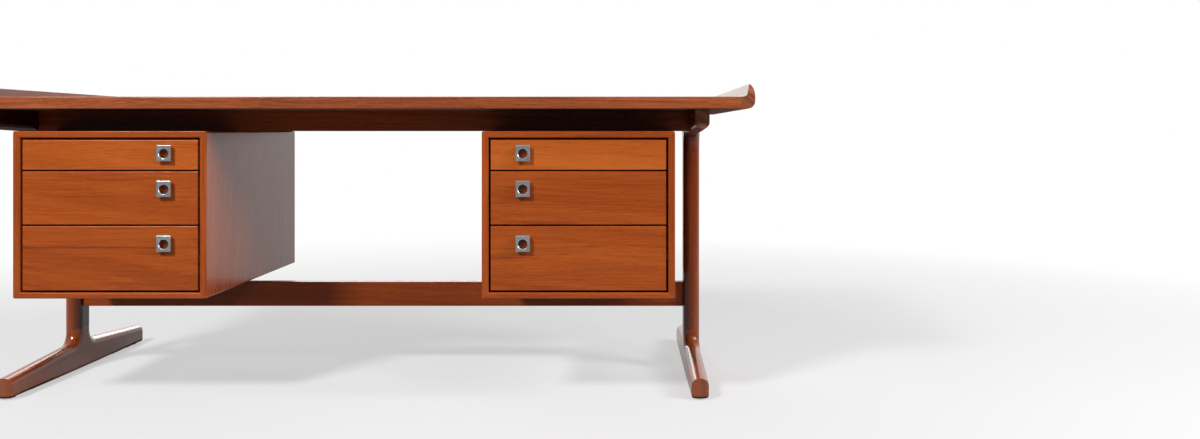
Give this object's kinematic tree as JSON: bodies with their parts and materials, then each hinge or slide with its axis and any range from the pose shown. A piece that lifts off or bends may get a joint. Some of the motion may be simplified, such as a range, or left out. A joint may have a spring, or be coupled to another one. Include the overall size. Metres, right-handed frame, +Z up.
{
  "type": "executive desk",
  "caption": "Pedestal writing desk: flat top with raised, flared end lips on sculpted leg frames, a low stretcher, drawer pedestals and plate pulls with a finger hole.",
  "frame": {"origin": "on the floor under the middle of the top", "axes": "+X to the right of the sitter along the desk, +Y away from the sitter, +Z up; the drawers open towards -Y"},
  "size_m": [1.92, 0.92, 0.76],
  "materials": {
    "teak_top": "teak, satin lacquer",
    "teak_leg": "solid teak, rubbed satin lacquer",
    "teak_rail": "solid teak, satin lacquer",
    "teak_case": "teak veneer with teak edges, satin lacquer",
    "teak_front": "teak veneer, satin lacquer",
    "beech_inner": "beech, thin clear lacquer",
    "ply_bottom": "birch plywood, thin clear lacquer",
    "nickel_pull": "brushed nickel plate",
    "steel_fastener": "zinc plated steel",
    "glide_plastic": "dark moulded plastic"
  },
  "bodies": {
    "desk_frame": {"top_panel": "teak_top", "top_edge_strips": "teak_top", "front_rail": "teak_rail", "rear_rail": "teak_rail", "stretcher": "teak_rail", "foot_glides": "glide_plastic", "top_screws": "steel_fastener", "pedestal_screws": "steel_fastener", "stretcher_bolts": "steel_fastener", "barrel_nuts": "steel_fastener", "right_end_lip": "teak_top", "right_arm": "teak_leg", "right_post": "teak_leg", "right_foot": "teak_leg", "right_case_top": "teak_case", "right_case_bottom": "teak_case", "right_case_inner_side": "teak_case", "right_case_outer_side": "teak_case", "right_case_back": "teak_case", "right_runners": "beech_inner", "left_end_lip": "teak_top", "left_arm": "teak_leg", "left_post": "teak_leg", "left_foot": "teak_leg", "left_case_top": "teak_case", "left_case_bottom": "teak_case", "left_case_inner_side": "teak_case", "left_case_outer_side": "teak_case", "left_case_back": "teak_case", "left_runners": "beech_inner"},
    "right_top_drawer": {"right_top_drawer_front": "teak_front", "right_top_drawer_carcass": "beech_inner", "right_top_drawer_bottom": "ply_bottom", "right_top_drawer_pull": "nickel_pull", "right_top_drawer_pull_screws": "steel_fastener"},
    "right_middle_drawer": {"right_middle_drawer_front": "teak_front", "right_middle_drawer_carcass": "beech_inner", "right_middle_drawer_bottom": "ply_bottom", "right_middle_drawer_pull": "nickel_pull", "right_middle_drawer_pull_screws": "steel_fastener"},
    "right_bottom_drawer": {"right_bottom_drawer_front": "teak_front", "right_bottom_drawer_carcass": "beech_inner", "right_bottom_drawer_bottom": "ply_bottom", "right_bottom_drawer_pull": "nickel_pull", "right_bottom_drawer_pull_screws": "steel_fastener"},
    "left_top_drawer": {"left_top_drawer_front": "teak_front", "left_top_drawer_carcass": "beech_inner", "left_top_drawer_bottom": "ply_bottom", "left_top_drawer_pull": "nickel_pull", "left_top_drawer_pull_screws": "steel_fastener"},
    "left_middle_drawer": {"left_middle_drawer_front": "teak_front", "left_middle_drawer_carcass": "beech_inner", "left_middle_drawer_bottom": "ply_bottom", "left_middle_drawer_pull": "nickel_pull", "left_middle_drawer_pull_screws": "steel_fastener"},
    "left_bottom_drawer": {"left_bottom_drawer_front": "teak_front", "left_bottom_drawer_carcass": "beech_inner", "left_bottom_drawer_bottom": "ply_bottom", "left_bottom_drawer_pull": "nickel_pull", "left_bottom_drawer_pull_screws": "steel_fastener"}
  },
  "joints": [
    {"name": "right_top_drawer_slide", "type": "slide", "parent": "desk_frame", "child": "right_top_drawer", "axis": [0, -1, 0], "range_m": [0, 0.4]},
    {"name": "right_middle_drawer_slide", "type": "slide", "parent": "desk_frame", "child": "right_middle_drawer", "axis": [0, -1, 0], "range_m": [0, 0.4]},
    {"name": "right_bottom_drawer_slide", "type": "slide", "parent": "desk_frame", "child": "right_bottom_drawer", "axis": [0, -1, 0], "range_m": [0, 0.4]},
    {"name": "left_top_drawer_slide", "type": "slide", "parent": "desk_frame", "child": "left_top_drawer", "axis": [0, -1, 0], "range_m": [0, 0.4]},
    {"name": "left_middle_drawer_slide", "type": "slide", "parent": "desk_frame", "child": "left_middle_drawer", "axis": [0, -1, 0], "range_m": [0, 0.4]},
    {"name": "left_bottom_drawer_slide", "type": "slide", "parent": "desk_frame", "child": "left_bottom_drawer", "axis": [0, -1, 0], "range_m": [0, 0.4]}
  ]
}
